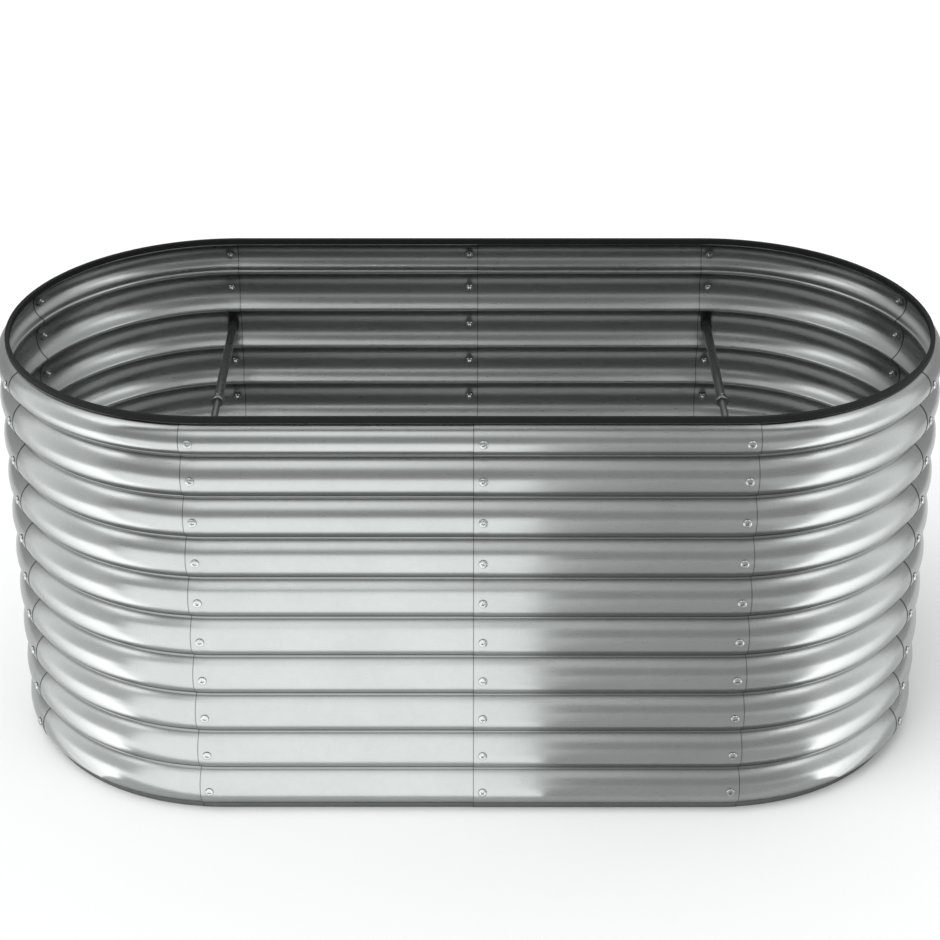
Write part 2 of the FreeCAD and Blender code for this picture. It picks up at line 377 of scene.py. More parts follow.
def face_outwards(mesh):
    """Turns a closed mesh right side out."""
    work = bmesh.new()
    work.from_mesh(mesh)
    bmesh.ops.remove_doubles(work, verts=work.verts, dist=0.001 * MM)
    if work.calc_volume(signed=True) < 0:
        bmesh.ops.reverse_faces(work, faces=work.faces)
    work.to_mesh(mesh)
    work.free()


def grown(source, tree, values, name, sharp=math.radians(35)):
    """Runs a node group on an object and returns the plain mesh piece that it makes."""
    modifier = source.modifiers.new("Grow", "NODES")
    modifier.node_group = tree
    for item in tree.interface.items_tree:
        if item.in_out == "INPUT" and item.name in values:
            modifier[item.identifier] = values[item.name]
    source.update_tag()
    bpy.context.view_layer.update()
    graph = bpy.context.evaluated_depsgraph_get()
    mesh = bpy.data.meshes.new_from_object(source.evaluated_get(graph), depsgraph=graph)
    mesh.name = name
    face_outwards(mesh)
    mesh.set_sharp_from_angle(angle=sharp)
    source.modifiers.remove(modifier)
    piece = bpy.data.objects.new(name, mesh)
    bpy.context.scene.collection.objects.link(piece)
    return piece


def sweep_group():
    """Sweeps a profile along a plan line that runs anticlockwise.

    The profile's X points outwards and its Y down.
    """
    tree, given = node_group(
        "Sweep along plan",
        {"Profile": "NodeSocketObject", "Capped": "NodeSocketBool", "Finish": "NodeSocketMaterial"},
    )
    profile = add_node(tree, "GeometryNodeObjectInfo", {"Object": given["Profile"]})
    # The first half of the profile is its inner face. It counts as far out, where no painted valley shade
    # falls
    far_out = 1.0
    along = add_node(tree, "GeometryNodeSplineParameter").outputs
    inner = add_node(
        tree, "FunctionNodeCompare", {0: along["Factor"], 1: 0.5}, operation="LESS_THAN"
    )
    position = add_node(tree, "GeometryNodeInputPosition")
    out = add_node(tree, "ShaderNodeSeparateXYZ", {0: position.outputs[0]})
    depth = add_node(
        tree,
        "GeometryNodeSwitch",
        {"Switch": inner.outputs[0], "False": out.outputs["X"], "True": far_out},
        input_type="FLOAT",
    )
    # This depth outside drives the painted valley shade in the sheet's material
    marked = add_node(
        tree,
        "GeometryNodeStoreNamedAttribute",
        {"Geometry": profile.outputs["Geometry"], "Name": "outside_depth", "Value": depth.outputs[0]},
    )
    # A place on the plan line is as far from an edge as from the nearer of the line's ends
    whole = add_node(tree, "GeometryNodeSplineLength").outputs["Length"]
    nearest = maths(tree, "MINIMUM", along["Length"], maths(tree, "SUBTRACT", whole, along["Length"]))
    # This distance from the ends drives the painted shadow along the sheet's cut edges
    measured = add_node(
        tree,
        "GeometryNodeStoreNamedAttribute",
        {"Geometry": given["Geometry"], "Name": "edge_distance", "Value": nearest},
    )
    upright = add_node(tree, "GeometryNodeSetCurveNormal", {"Curve": measured.outputs[0]}, mode="Z_UP")
    swept = add_node(
        tree,
        "GeometryNodeCurveToMesh",
        {"Curve": upright.outputs[0], "Profile Curve": marked.outputs[0], "Fill Caps": given["Capped"]},
    )
    smooth = add_node(tree, "GeometryNodeSetShadeSmooth", {0: swept.outputs[0]})
    return closed_group(tree, smooth, given["Finish"])


def poly_curve(name, points, closed=False):
    """A curve object of straight runs through the points."""
    curve = bpy.data.curves.new(name, "CURVE")
    curve.dimensions = "3D"
    spline = curve.splines.new("POLY")
    spline.points.add(len(points) - 1)
    for spot, place in zip(spline.points, points):
        spot.co = (*place, 0)[:3] + (1,)
    spline.use_cyclic_u = closed
    helper = bpy.data.objects.new(name, curve)
    bpy.context.scene.collection.objects.link(helper)
    return helper


def below_rim(outline):
    """An outline as a sweep takes it, with its heights turned down."""
    return [(out, -height) for out, height in outline]


def discard(*helpers):
    for helper in helpers:
        bpy.data.objects.remove(helper)


# --- Corrugated panels ---

# Steps of each bend in the sheet's section
VALLEY_STEPS, CREST_STEPS = 6, 14
# Steps of each kind of plan line
CORNER_STEPS, END_STEPS, WALL_STEPS, WALL_TAIL_STEPS = 40, 36, 12, 6


def arc(centre, radius, start, stop, steps):
    """Points on a circle in a plane, from one angle to another, both included."""
    turn = (stop - start) / steps
    spots = []
    for step in range(steps + 1):
        angle = start + turn * step
        spots.append((centre[0] + radius * math.cos(angle), centre[1] + radius * math.sin(angle)))
    return spots


class Corrugation:
    """Heights and bends of the ribs."""

    def __init__(self, sizes):
        self.sizes = sizes
        self.valleys = [sizes.bottom_lip + sizes.rib_pitch * number for number in range(sizes.rib_count)]
        self.valleys.append(self.valleys[-1] + sizes.top_rib_pitch)
        self.height = self.valleys[-1] + sizes.top_lip
        self.crests = [(low + high) / 2 for low, high in zip(self.valleys, self.valleys[1:])]
        self.turns = []
        self.bends = []
        for low, high in zip(self.valleys, self.valleys[1:]):
            half = (high - low) / 2
            turn = 2 * math.atan2(sizes.rib_depth, half)
            self.turns.append(turn)
            self.bends.append(half / math.sin(turn) - sizes.valley_radius)

    def skin(self, offset):
        """The corrugated line at an offset from the innermost face, as (out, height) from the ground up."""
        valley = self.sizes.valley_radius
        line = [(offset, 0)]
        below = math.pi
        for base, crest, turn, bend in zip(self.valleys, self.crests, self.turns, self.bends):
            line += arc((valley, base), valley - offset, below, math.pi - turn, VALLEY_STEPS)
            centre = (self.sizes.rib_depth - bend, crest)
            line += arc(centre, bend + offset, -turn, turn, CREST_STEPS)[1:-1]
            below = math.pi + turn
        top = (valley, self.valleys[-1])
        line += arc(top, valley - offset, below, math.pi, VALLEY_STEPS // 2)
        line.append((offset, self.height))
        return line

    def section(self, level):
        """The closed outline of a panel's cut edge."""
        thickness = self.sizes.thickness
        return self.skin(level * thickness) + self.skin((level + 1) * thickness)[::-1]


def end_centre(sizes, end):
    """X of a round end's axis. Each end is drawn in by its innermost sheet, so both reach equally far."""
    extra = LEVELS["end_" + end] - LEVELS["end_left"]
    return ENDS[end] * (sizes.straight_half - extra * sizes.thickness)


def seam_turns(sizes):
    """Angle of a corner's seam past the start of the round end, and half the angle of a lap."""
    crest = sizes.end_radius + sizes.rib_depth
    return math.asin(sizes.corner_seam_offset / crest), sizes.lap_width / 2 / crest


def round_line(sizes, end, low, high, steps):
    """Plan points round an end. Angles go from the long axis towards the back."""
    spots = arc((0, 0), sizes.end_radius, low, high, steps)
    return [(end_centre(sizes, end) + ENDS[end] * x, y) for x, y in spots]


def corner_line(sizes, end, side):
    seam, lap = seam_turns(sizes)
    sign = SIDES[side]
    low, high = sizes.end_seam_angle - lap, math.pi / 2 - seam + lap
    return round_line(sizes, end, sign * low, sign * high, CORNER_STEPS)


def end_line(sizes, end):
    reach = sizes.end_seam_angle + seam_turns(sizes)[1]
    return round_line(sizes, end, -reach, reach, END_STEPS)


def wall_line(sizes, end, side, seam_x):
    """A straight wall from its lap in the middle, then on round the corner as far as its lap there."""
    seam, lap = seam_turns(sizes)
    quarter, stop = (SIDES[side] * turn for turn in (math.pi / 2, math.pi / 2 - seam - lap))
    tail = round_line(sizes, end, quarter, stop, WALL_TAIL_STEPS)
    start = seam_x - ENDS[end] * sizes.lap_width / 2
    run = tail[0][0] - start
    wall = [(start + run * step / WALL_STEPS, tail[0][1]) for step in range(WALL_STEPS)]
    return wall + tail


def panel_lines(sizes):
    """The plan line of every panel."""
    lines = {}
    for end in ENDS:
        lines["end_" + end] = end_line(sizes, end)
        for side, seam_x in (("front", sizes.front_seam_x), ("back", sizes.back_seam_x)):
            lines[f"corner_{side}_{end}"] = corner_line(sizes, end, side)
            lines[f"{side}_{end}"] = wall_line(sizes, end, side, seam_x)
    return lines


def runs_anticlockwise(line):
    """True if a plan line goes round the bed's middle anticlockwise."""
    (x0, y0), (x1, y1) = line[0], line[-1]
    return x0 * y1 - x1 * y0 > 0


class BED_OT_sheets(bpy.types.Operator):
    """Make the ten corrugated panels of galvanised sheet"""

    bl_idname = "garden_bed.sheets"
    bl_label = "Corrugated panels"

    def execute(self, context):
        sizes = context.scene.bed_sheets
        ribs = Corrugation(sizes)
        finish = galvanised_sheet("Galvanised sheet", sizes.zinc, sizes.dull_zinc)
        tree = sweep_group()
        for name, line in panel_lines(sizes).items():
            if not runs_anticlockwise(line):
                line = line[::-1]
            plan = poly_curve("plan", line)
            profile = poly_curve("profile", below_rim(ribs.section(LEVELS[name])), closed=True)
            values = {"Profile": profile, "Capped": True, "Finish": finish}
            piece = grown(plan, tree, values, "sheet_" + name)
            discard(plan, profile)
            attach(piece, BODY)
            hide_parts("panel_" + name)
        return {"FINISHED"}


# --- Fasteners ---


class Seam:
    """A column of bolts: its place at the crests, the way it points and the sheets that it holds."""

    def __init__(self, sizes, foot, out, inner, outer, skew=None):
        self.foot = Vector((*foot, 0))
        self.out = Vector((*out, 0))
        self.inner = LEVELS[inner] * sizes.thickness
        self.outer = (LEVELS[outer] + 1) * sizes.thickness
        self.crest = sizes.end_radius + sizes.rib_depth
        self.skew = skew

    def level_change(self, along):
        """How far the crest stands out at a distance along the wall, compared with the bolt's axis."""
        if self.skew is None:
            return 0
        reach = self.crest**2
        return math.sqrt(reach - (self.skew + along) ** 2) - math.sqrt(reach - self.skew**2)

    def spot(self, height, distance):
        return self.foot + self.out * distance + UP * height


def all_seams(sizes):
    """Every seam, with the ones at the corners square to the long walls."""
    crest = sizes.end_radius + sizes.rib_depth
    seams = {
        "front_middle": Seam(sizes, (sizes.front_seam_x, -crest), (0, -1), "front_left", "front_right"),
        "back_middle": Seam(sizes, (sizes.back_seam_x, crest), (0, 1), "back_left", "back_right"),
    }
    offset = sizes.corner_seam_offset
    for end, way in ENDS.items():
        axis = end_centre(sizes, end)
        for side, sign in SIDES.items():
            corner = f"corner_{side}_{end}"
            foot = (axis + way * offset, sign * math.sqrt(crest**2 - offset**2))
            seams[f"{side}_{end}_corner"] = Seam(sizes, foot, (0, sign), corner, f"{side}_{end}", offset)
            out = (way * math.cos(sizes.end_seam_angle), sign * math.sin(sizes.end_seam_angle))
            foot = (axis + out[0] * crest, out[1] * crest)
            seams[f"{end}_end_{side}"] = Seam(sizes, foot, out, corner, "end_" + end, 0)
    return seams


def ring_mesh(name, rings, closed_ring=False):
    """A closed skin over rings of points.

    A ring of one point is a pole, and a closed ring joins the last to the first.
    """
    work = bmesh.new()
    rows = [[work.verts.new(spot) for spot in ring] for ring in rings]
    pairs = list(zip(rows, rows[1:]))
    if closed_ring:
        pairs.append((rows[-1], rows[0]))
    for low, high in pairs:
        count = max(len(low), len(high))
        for number in range(count):
            after = (number + 1) % count
            corners = [low[turn % len(low)] for turn in (number, after)]
            corners += [high[turn % len(high)] for turn in (after, number)]
            work.faces.new(list(dict.fromkeys(corners)))
    bmesh.ops.recalc_face_normals(work, faces=work.faces)
    mesh = bpy.data.meshes.new(name)
    work.to_mesh(mesh)
    work.free()
    piece = bpy.data.objects.new(name, mesh)
    bpy.context.scene.collection.objects.link(piece)
    return piece


def circle(radius, height, spokes):
    """A ring of points round Z, or the pole."""
    if radius == 0:
        return [(0, 0, height)]
    return [(*spot, height) for spot in arc((0, 0), radius, 0, math.tau, spokes)[:-1]]


# A pan head over its bearing face, as shares of its radius and its height
PAN_HEAD = ((0.97, 0), (1, 0.12), (0.97, 0.42), (0.84, 0.72), (0.6, 0.93), (0.3, 0.99), (0, 1))


def bolt_shape(sheets, bolts):
    """A pan head with a cross recess, on a threaded shank with its end chamfered."""
    radius, wide, top = bolts.bolt_radius, bolts.head_radius, bolts.head_height
    tip, core, root = radius * 0.72, radius * 0.84, radius * 0.3
    end = -(2 * sheets.thickness + bolts.bolt_reach)
    pitch, turns = 1 * MM, 4
    profile = [(0, end), (tip, end), (radius, end + root)]
    for turn in range(turns):
        groove = end + root + (turn + 0.5) * pitch
        profile += [(core, groove), (radius, groove + pitch / 2)]
    profile.append((radius, 0))
    profile += [(wide * across, top * rise) for across, rise in PAN_HEAD]
    bolt = ring_mesh("bolt", [circle(across, height, 16) for across, height in profile])

    arm, half = wide * 0.5, wide * 0.11
    plus = [(arm, -half), (arm, half), (half, half), (half, arm), (-half, arm), (-half, half)]
    plus += [(-x, -y) for x, y in plus]
    bottom, mouth, bottom_share = top * 0.35, top * 1.1, 0.55
    rings = [
        [(x * share, y * share, height) for x, y in plus]
        for share, height in ((bottom_share, bottom), (1, mouth))
    ]
    cutter = ring_mesh("recess", [[(0, 0, bottom)], *rings, [(0, 0, mouth)]])
    hollow = bolt.modifiers.new("Recess", "BOOLEAN")
    hollow.object = cutter
    hollow.solver = "EXACT"
    graph = bpy.context.evaluated_depsgraph_get()
    bolt.data = bpy.data.meshes.new_from_object(bolt.evaluated_get(graph), depsgraph=graph)
    bolt.modifiers.remove(hollow)
    discard(cutter)
    return bolt


def nut_shape(bolts):
    """A hexagon nut under its bearing face, with its corners chamfered."""
    corner = bolts.nut_across_flats / math.sqrt(3)
    flat = bolts.nut_across_flats / 2
    chamfer = bolts.nut_height * 0.1
    eased = flat * 0.97

    def hexagon(most, height):
        """Corners and middles of the flats in turn, held within the most radius."""
        spots = []
        for number in range(12):
            reach = min(flat if number % 2 else corner, most)
            turn = math.tau * number / 12
            spots.append((reach * math.cos(turn), reach * math.sin(turn), height))
        return spots

    foot = -bolts.nut_height
    levels = ((eased, 0), (corner, -chamfer), (corner, foot + chamfer), (eased, foot))
    outside = [hexagon(most, height) for most, height in levels]
    bore = [circle(bolts.bolt_radius, height, 12) for height in (foot, 0)]
    return ring_mesh("nut", outside + bore, closed_ring=True)


def dots(name, spots):
    """Loose points."""
    mesh = bpy.data.meshes.new(name)
    mesh.from_pydata(spots, [], [])
    helper = bpy.data.objects.new(name, mesh)
    bpy.context.scene.collection.objects.link(helper)
    return helper


def row_group():
    """A copy of a fastener on each point, facing outwards, each with its own turn up to a limit."""
    tree, given = node_group(
        "Row of fasteners",
        {
            "Fastener": "NodeSocketObject",
            "Outwards": "NodeSocketVector",
            "Most turn": "NodeSocketFloat",
            "Seed": "NodeSocketInt",
            "Finish": "NodeSocketMaterial",
        },
    )
    fastener = add_node(tree, "GeometryNodeObjectInfo", {"Object": given["Fastener"]})
    facing = add_node(
        tree, "FunctionNodeAlignRotationToVector", {"Vector": given["Outwards"]}, axis="Z"
    )
    level = add_node(
        tree,
        "FunctionNodeAlignRotationToVector",
        {"Rotation": facing.outputs[0], "Vector": (0, 0, 1)},
        axis="Y",
        pivot_axis="Z",
    )
    turn = add_node(
        tree,
        "FunctionNodeRandomValue",
        {"Max": given["Most turn"], "Seed": given["Seed"]},
        data_type="FLOAT",
    )
    roll = add_node(
        tree, "FunctionNodeAxisAngleToRotation", {"Axis": (0, 0, 1), "Angle": turn.outputs[1]}
    )
    turned = add_node(
        tree,
        "FunctionNodeRotateRotation",
        {"Rotation": level.outputs[0], "Rotate By": roll.outputs[0]},
        rotation_space="LOCAL",
    )
    copies = add_node(
        tree,
        "GeometryNodeInstanceOnPoints",
        {
            "Points": given["Geometry"],
            "Instance": fastener.outputs["Geometry"],
            "Rotation": turned.outputs[0],
        },
    )
    return closed_group(tree, copies, given["Finish"])


class BED_OT_fasteners(bpy.types.Operator):
    """Make the bolts and nuts of every seam"""

    bl_idname = "garden_bed.fasteners"
    bl_label = "Bolts and nuts"

    def execute(self, context):
        sheets, bolts = context.scene.bed_sheets, context.scene.bed_fasteners
        ribs = Corrugation(sheets)
        finish = plated_steel("Zinc-plated steel", bolts.plating, rough=0.3)
        tree = row_group()
        bolt, nut = bolt_shape(sheets, bolts), nut_shape(bolts)
        corner = bolts.nut_across_flats / math.sqrt(3)
        # At this rib the tie rods' inserts take the place of the nuts
        rod_rib = len(ribs.crests) - context.scene.bed_rods.rib
        for seed, (name, seam) in enumerate(all_seams(sheets).items()):
            seat = seam.outer + max(0, seam.level_change(-bolts.head_radius))
            heads, inside = [], []
            for number, (height, bend) in enumerate(zip(ribs.crests, ribs.bends)):
                heads.append(seam.spot(height, seat))
                hollow = bend + seam.inner
                dip = hollow - math.sqrt(hollow**2 - (bolts.nut_across_flats / 2) ** 2)
                if number != rod_rib or not name.endswith("_corner"):
                    inside.append(seam.spot(height, seam.inner - dip + seam.level_change(corner)))
            rows = (("bolts", heads, bolt, math.tau), ("nuts", inside, nut, 0))
            for kind, spots, shape, turn in rows:
                row = dots("row", spots)
                values = {
                    "Fastener": shape,
                    "Outwards": seam.out,
                    "Most turn": turn,
                    "Seed": seed,
                    "Finish": finish,
                }
                piece = grown(row, tree, values, f"{kind}_row_{name}")
                discard(row)
                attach(piece, BODY)
                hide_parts(f"{kind}_{name}")
        discard(bolt, nut)
        return {"FINISHED"}


# --- Rubber edging ---


def rounded(corners, radii, steps=4):
    """An outline with each right-angled corner rounded, unless its radius is 0."""
    line = []
    for number, (corner, radius) in enumerate(zip(corners, radii)):
        here = Vector(corner)
        if radius == 0:
            line.append(tuple(here))
            continue
        before = (Vector(corners[number - 1]) - here).normalized()
        after = (Vector(corners[(number + 1) % len(corners)]) - here).normalized()
        centre = here + (before + after) * radius
        for step in range(steps + 1):
            turn = math.pi / 2 * step / steps
            spot = centre - after * radius * math.cos(turn) - before * radius * math.sin(turn)
            line.append(tuple(spot))
    return line


class BED_OT_edging(bpy.types.Operator):
    """Make the rubber edging on the rim"""

    bl_idname = "garden_bed.edging"
    bl_label = "Rubber edging"

    def execute(self, context):
        sheets, strip = context.scene.bed_sheets, context.scene.bed_edging
        rim = Corrugation(sheets).height
        foot, top = rim - sheets.top_lip, rim + strip.wall
        near = -strip.slack
        far = (max(LEVELS.values()) + 1) * sheets.thickness + strip.slack
        before, behind = near - strip.wall, far + strip.wall
        corners = [(before, foot), (before, top), (behind, top), (behind, foot)]
        corners += [(far, foot), (far, rim), (near, rim), (near, foot)]
        soft, hard = strip.wall * 0.6, strip.wall * 0.2
        outline = rounded(corners, (hard, soft, soft, hard, hard, 0, 0, hard))
        profile = poly_curve("profile", below_rim(outline), closed=True)
        # The strip is one even oval, so both ends take the centre of the left one
        spots = arc((sheets.straight_half, 0), sheets.end_radius, -math.pi / 2, math.pi / 2, 64)
        plan = [(ENDS[end] * x, ENDS[end] * y) for end in ("right", "left") for x, y in spots]
        track = poly_curve("track", plan, closed=True)
        finish = dull_rubber("Extruded rubber", strip.rubber)
        piece = grown(track, sweep_group(), {"Profile": profile, "Finish": finish}, "rim_strip")
        discard(track, profile)
        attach(piece, BODY)
        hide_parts("rim_edging")
        return {"FINISHED"}


# --- Tie rods ---


class BED_OT_tie_rods(bpy.types.Operator):
    """Make the two telescoping tie rods across the bed"""

    bl_idname = "garden_bed.tie_rods"
    bl_label = "Tie rods"

    def execute(self, context):
        sheets, rods = context.scene.bed_sheets, context.scene.bed_rods
        ribs = Corrugation(sheets)
        number = len(ribs.crests) - rods.rib
        height, bend = ribs.crests[number], ribs.bends[number]
        zinc = plated_steel("Zinc-plated tube", rods.tube, rough=0.32)
        screw_finish = plated_steel("Bright zinc-plated steel", rods.screw, rough=0.22)
        rubber = dull_rubber("Moulded rubber", rods.rubber)
        seams = all_seams(sheets)
        wide = rods.outer_radius
        bore = wide - rods.outer_wall
        thin = bore - rods.slack
        thin_bore = thin - rods.inner_wall
        # Between a tube's end and the wall, and between a sleeve's end and the sheet that it beds on
        tube_gap, sleeve_gap = 2 * MM, 0.1 * MM

        for end in ENDS:
            line_x = seams[f"back_{end}_corner"].foot.x

            def inner_face(side, x, z):
                """Y of the corner's inner face at a place on a sleeve's end."""
                level = seams[f"{side}_{end}_corner"].inner
                rise = (bend + level) ** 2 - z**2
                reach = sheets.end_radius + sheets.rib_depth - bend + math.sqrt(rise)
                along = line_x + x - end_centre(sheets, end)
                return SIDES[side] * math.sqrt(reach**2 - along**2)

            def turned_piece(name, profile, finish, node, bedded=None):
                """A round piece on the rod's line, from (y, radius) pairs.

                Where y is None, its end beds on the corner's sheet at that side.
                """
                rings = []
                for place, radius in profile:
                    ring = []
                    for x, z, _ in circle(radius, 0, 40):
                        y = place
                        if y is None:
                            y = inner_face(bedded, x, z) - SIDES[bedded] * sleeve_gap
                        ring.append((line_x + x, y, height + z))
                    rings.append(ring)
                piece = ring_mesh(name, rings, closed_ring=True)
                dress(piece, finish)
                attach(piece, BODY)
                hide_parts(f"tie_{end}_{node}")

            stop = rods.outer_end
            reach = stop + rods.overlap
            back = inner_face("back", 0, 0) - tube_gap
            front = inner_face("front", 0, 0) + tube_gap
            turned_piece(
                f"tie_{end}_wide_tube",
                [(back, wide), (stop, wide), (stop, bore), (back, bore)],
                zinc, "outer_tube",
            )
            turned_piece(
                f"tie_{end}_thin_tube",
                [(reach, thin), (front, thin), (front, thin_bore), (reach, thin_bore)],
                zinc, "inner_tube",
            )
            far, near = stop + rods.collar_grip, stop - rods.collar_nose
            rim, edge = rods.collar_radius, 0.3 * MM
            far_end = [(far, rim - 2 * edge), (far - edge, rim - edge), (far - 3 * edge, rim)]
            near_end = [(near + 3 * edge, rim), (near + edge, rim - edge), (near, rim - 2 * edge)]
            inside = [(near, thin), (stop, thin), (stop, wide)]
            turned_piece(
                f"tie_{end}_clamp_collar",
                [(far, wide), *far_end, *near_end, *inside],
                zinc, "collar",
            )
            for side, inner, name in (("back", wide, "wide"), ("front", thin, "thin")):
                sign = SIDES[side]
                lip = seams[f"{side}_{end}_corner"].foot.y - sign * rods.sleeve_length
                outer = inner + rods.sleeve_wall
                soft = rods.sleeve_wall * 0.5
                softened = [
                    (lip + sign * soft, outer),
                    (lip + sign * soft * 0.3, outer - soft * 0.3),
                    (lip, outer - soft),
                ]
                turned_piece(
                    f"tie_{end}_{name}_sleeve",
                    [(None, outer), *softened, (lip, inner), (None, inner)],
                    rubber, f"{side}_sleeve", bedded=side,
                )
            screw = grub_screw(rods, thin)
            middle = stop + rods.collar_grip / 2
            screw.data.transform(Matrix.Translation((line_x, middle, height)))
            dress(screw, screw_finish)
            screw.name = f"tie_{end}_grub_screw"
            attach(screw, BODY)
            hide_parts(f"tie_{end}_set_screw")
        return {"FINISHED"}


def grub_screw(rods, foot):
    """The screw in a collar, from the thin tube up, with a round socket in its top."""
    top = rods.collar_radius + rods.screw_stand
    radius = rods.screw_radius
    foot = foot + 0.05 * MM
    socket, chamfer, floor = radius * 0.55, radius * 0.15, top - radius * 0.9
    profile = [
        (0, foot),
        (radius, foot),
        (radius, top - chamfer),
        (radius - chamfer, top),
        (socket, top),
        (socket, floor),
        (0, floor),
    ]
    return ring_mesh("grub_screw", [circle(across, level, 24) for across, level in profile])


def dress(piece, finish, sharp=math.radians(35)):
    """Gives a finished mesh its material and smooth rounds."""
    piece.data.materials.clear()
    piece.data.materials.append(finish)
    for face in piece.data.polygons:
        face.use_smooth = True
    piece.data.set_sharp_from_angle(angle=sharp)


# --- Stage ---


def flat(name, corners):
    """A flat face through corners that run anticlockwise seen from its front."""
    mesh = bpy.data.meshes.new(name)
    mesh.from_pydata(corners, [], [list(range(len(corners)))])
    face = bpy.data.objects.new(name, mesh)
    bpy.context.scene.collection.objects.link(face)
    return face


def pale_floor(name, floor):
    """White studio paper: a dull sheet that keeps the bed's shadow."""
    material, tree = new_material(name)
    place = add_node(tree, "ShaderNodeTexCoord").outputs["Object"]
    grain = noise(tree, place, size=4 * MM)
    normal = relief(tree, grain, strength=0.02, depth=0.1 * MM)
    shade_with(tree, "ShaderNodeBsdfDiffuse", {"Color": floor, "Normal": normal})
    return material


def studio_sky(stage):
    """Even surroundings that light the bed, and that look brighter to the eye and in the metal."""
    seen = 0.95
    world = bpy.data.worlds.new("Studio")
    world.use_nodes = True
    tree = world.node_tree
    tree.nodes.clear()
    ray = add_node(tree, "ShaderNodeLightPath").outputs
    shown = maths(tree, "MAXIMUM", ray["Is Camera Ray"], ray["Is Glossy Ray"])
    strength = remap(tree, shown, (0, 1), (stage.fill, seen))
    sky = add_node(tree, "ShaderNodeBackground", {"Color": stage.sky, "Strength": strength})
    add_node(tree, "ShaderNodeOutputWorld", {0: sky.outputs[0]})
    return world


def card(name, corners, brightness):
    """A studio card that only reflections show, as the glow of a softbox or the shade of a flag."""
    face = flat(name, corners)
    material, tree = new_material(name)
    shade_with(tree, "ShaderNodeEmission", {"Strength": brightness})
    face.data.materials.append(material)
    face.visible_camera = face.visible_diffuse = face.visible_shadow = False


def level_card(name, x_span, y_span, height, brightness):
    (left, right), (near, far) = x_span, y_span
    spots = [(left, near), (right, near), (right, far), (left, far)]
    card(name, [(*spot, height) for spot in spots], brightness)


def upright_card(name, start, stop, heights, brightness):
    low, high = heights
    card(name, [(*start, low), (*stop, low), (*stop, high), (*start, high)], brightness)


def spot_at(apex, turn, distance):
    """A place at a distance from another, at an angle in degrees from straight ahead, to the right."""
    angle = math.radians(turn)
    return (apex[0] + distance * math.sin(angle), apex[1] - distance * math.cos(angle))


def wedge(name, apex, turn, width, span, height, brightness):
    """A level card that widens from an apex."""
    near, far = span
    low, high = turn - width / 2, turn + width / 2
    spots = [(low, near), (high, near), (high, far), (low, far)]
    card(name, [(*spot_at(apex, *spot), height) for spot in spots], brightness)


# Over and under the front wall: the cards' and flags' depth, and their height
UPPER, UPPER_HEIGHT = (-2.8, -0.2), 2.2
FLOOR, FLOOR_HEIGHT = (-1.7, -0.32), 1 * MM
# The softboxes at an end widen from a point inside it. They step on from the one nearest the camera,
# and each has the brightness of its two wedges and of its dimmer upright strip
STREAK_APEX = (0.470, -0.250)
STREAK_WIDTH = 15
STREAK_STARTS = {"left": 56, "right": 50}
STREAKS = ((3.6, 1.15), (3.1, 1.15), (2.5, 1.5), (1.8, 1.8))
# A ring of flags all round, that stands outside the strips
STRIP_DISTANCE, STRIP_HEIGHTS = 1.35, (0.02, 1.4)
RING_FLAGS, RING_RADIUS, RING_HEIGHTS = 24, 2.1, (0.02, 1.35)


def hang_bright_cards(stage):
    """Bright cards over and under the left half of the front wall, with one close to its lower ribs."""
    glow, edge, near_y = stage.card_glow, stage.card_edge, -0.51
    level_card("upper card", (-0.95, edge), UPPER, UPPER_HEIGHT, glow)
    level_card("floor card", (-0.78, edge), FLOOR, FLOOR_HEIGHT, glow)
    upright_card("near card", (-0.74, near_y), (edge, near_y), (0.01, 0.45), glow)


def hang_streaks(end, start):
    """Softboxes at an end that streak its round: floor and upper wedges, and upright strips."""
    apex = (ENDS[end] * STREAK_APEX[0], STREAK_APEX[1])
    width = STREAK_WIDTH
    for number, (brightness, level) in enumerate(STREAKS):
        low_turn = start + width * number
        turn = ENDS[end] * (low_turn + width / 2)
        wedge(f"{end} floor streak {number}", apex, turn, width, (0.05, 1.5), 2 * MM, brightness)
        wedge(f"{end} upper streak {number}", apex, turn, width, (0.1, 2.0), 2.1, brightness)
        low, high = (spot_at(apex, turn + lean, STRIP_DISTANCE) for lean in (-width / 2, width / 2))
        upright_card(f"{end} strip {number}", low, high, STRIP_HEIGHTS, level)


def hang_flags(stage):
    """Grey flags: all round to darken the horizon, behind the front wall, and at its right half."""
    turns = [math.tau * number / RING_FLAGS for number in range(RING_FLAGS + 1)]
    spots = [(RING_RADIUS * math.cos(turn), RING_RADIUS * math.sin(turn)) for turn in turns]
    for number, (low, high) in enumerate(zip(spots, spots[1:])):
        upright_card(f"flag {number}", low, high, RING_HEIGHTS, stage.flag_glow)
    inside_y, inside_glow = -0.31, 0.28
    for number, heights in enumerate(((0.61, 0.70), (0.82, 2.0))):
        ends = (-0.5, inside_y), (0.5, inside_y)
        upright_card(f"inside flag {number}", *ends, heights, inside_glow)
    level_card("upper flag", (stage.card_edge, 0.9), UPPER, UPPER_HEIGHT, 0.62)
    level_card("floor flag", (stage.card_edge, 0.6), FLOOR, FLOOR_HEIGHT, 0.72)


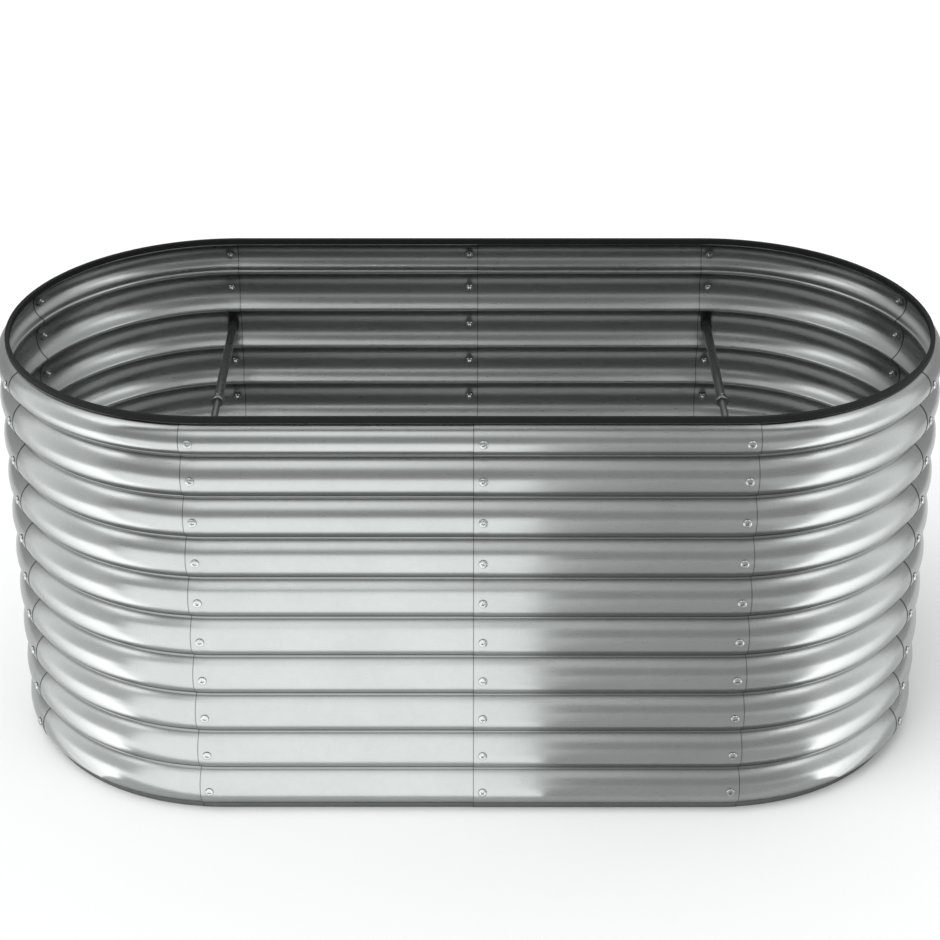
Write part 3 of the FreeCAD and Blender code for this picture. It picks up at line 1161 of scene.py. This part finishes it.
class BED_OT_stage(bpy.types.Operator):
    """Set up the floor, the lights and the camera"""

    bl_idname = "garden_bed.stage"
    bl_label = "Stage"

    def execute(self, context):
        scene, stage = context.scene, context.scene.bed_stage
        reach, drop = 14.0, 0.2 * MM
        floor = flat(
            "floor", [(-reach, -reach, 0), (reach, -reach, 0), (reach, reach, 0), (-reach, reach, 0)]
        )
        floor.data.transform(Matrix.Translation((0, 0, -drop)))
        floor.data.materials.append(pale_floor("White floor", stage.floor))
        scene.world = studio_sky(stage)

        sun = bpy.data.lights.new("key", "SUN")
        sun.energy = stage.key
        sun.angle = math.radians(50)
        key = bpy.data.objects.new("key", sun)
        from_left_above = Vector((-0.8, -0.9, 1.9))
        key.rotation_euler = (-from_left_above).to_track_quat("-Z", "Y").to_euler()
        key.visible_glossy = False
        scene.collection.objects.link(key)

        hang_bright_cards(stage)
        for end, start in STREAK_STARTS.items():
            hang_streaks(end, start)
        hang_flags(stage)

        lens = bpy.data.cameras.new("Camera")
        lens.sensor_width = 36
        lens.lens = stage.focal_length
        camera = bpy.data.objects.new("Camera", lens)
        camera.location = (0, -stage.camera_distance, stage.camera_height)
        camera.rotation_euler = (math.pi / 2 - stage.camera_pitch, 0, 0)
        scene.collection.objects.link(camera)
        scene.camera = camera
        scene.view_settings.view_transform = "Standard"
        return {"FINISHED"}


class BED_OT_carried_over(bpy.types.Operator):
    """Give the frame's own solids that stay on show their finish"""

    bl_idname = "garden_bed.carried_over"
    bl_label = "Rod inserts"

    def execute(self, context):
        tube = context.scene.bed_rods.tube
        finish = plated_steel("Dull zinc-plated steel", tube, rough=0.4)
        for end in ENDS:
            for side in SIDES:
                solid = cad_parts[f"tie_{end}_{side}_insert"]
                solid.data.materials.clear()
                solid.data.materials.append(finish)
        return {"FINISHED"}


class BED_PT_panel(bpy.types.Panel):
    """Sizes, colours and steps of the garden bed"""

    bl_label = "Garden Bed"
    bl_idname = "BED_PT_panel"
    bl_space_type = "VIEW_3D"
    bl_region_type = "UI"
    bl_category = "Garden Bed"

    def draw(self, context):
        for step, settings in STEPS:
            box = self.layout.box()
            box.operator(step.bl_idname)
            if settings:
                group = getattr(context.scene, settings)
                for name in group.__annotations__:
                    box.prop(group, name)


STEPS = (
    (BED_OT_sheets, "bed_sheets"),
    (BED_OT_fasteners, "bed_fasteners"),
    (BED_OT_edging, "bed_edging"),
    (BED_OT_tie_rods, "bed_rods"),
    (BED_OT_carried_over, None),
    (BED_OT_stage, "bed_stage"),
)
SETTINGS = {
    "bed_sheets": SheetSettings,
    "bed_fasteners": FastenerSettings,
    "bed_edging": EdgingSettings,
    "bed_rods": RodSettings,
    "bed_stage": StageSettings,
}
CLASSES = (*SETTINGS.values(), *(step for step, _ in STEPS), BED_PT_panel)


def register():
    for kind in CLASSES:
        bpy.utils.register_class(kind)
    for name, settings in SETTINGS.items():
        setattr(bpy.types.Scene, name, PointerProperty(type=settings))


def unregister():
    for name in SETTINGS:
        delattr(bpy.types.Scene, name)
    for kind in reversed(CLASSES):
        bpy.utils.unregister_class(kind)


def main():
    register()
    for step, _ in STEPS:
        group, name = step.bl_idname.split(".")
        getattr(getattr(bpy.ops, group), name)()


if __name__ == "__main__":
    main()
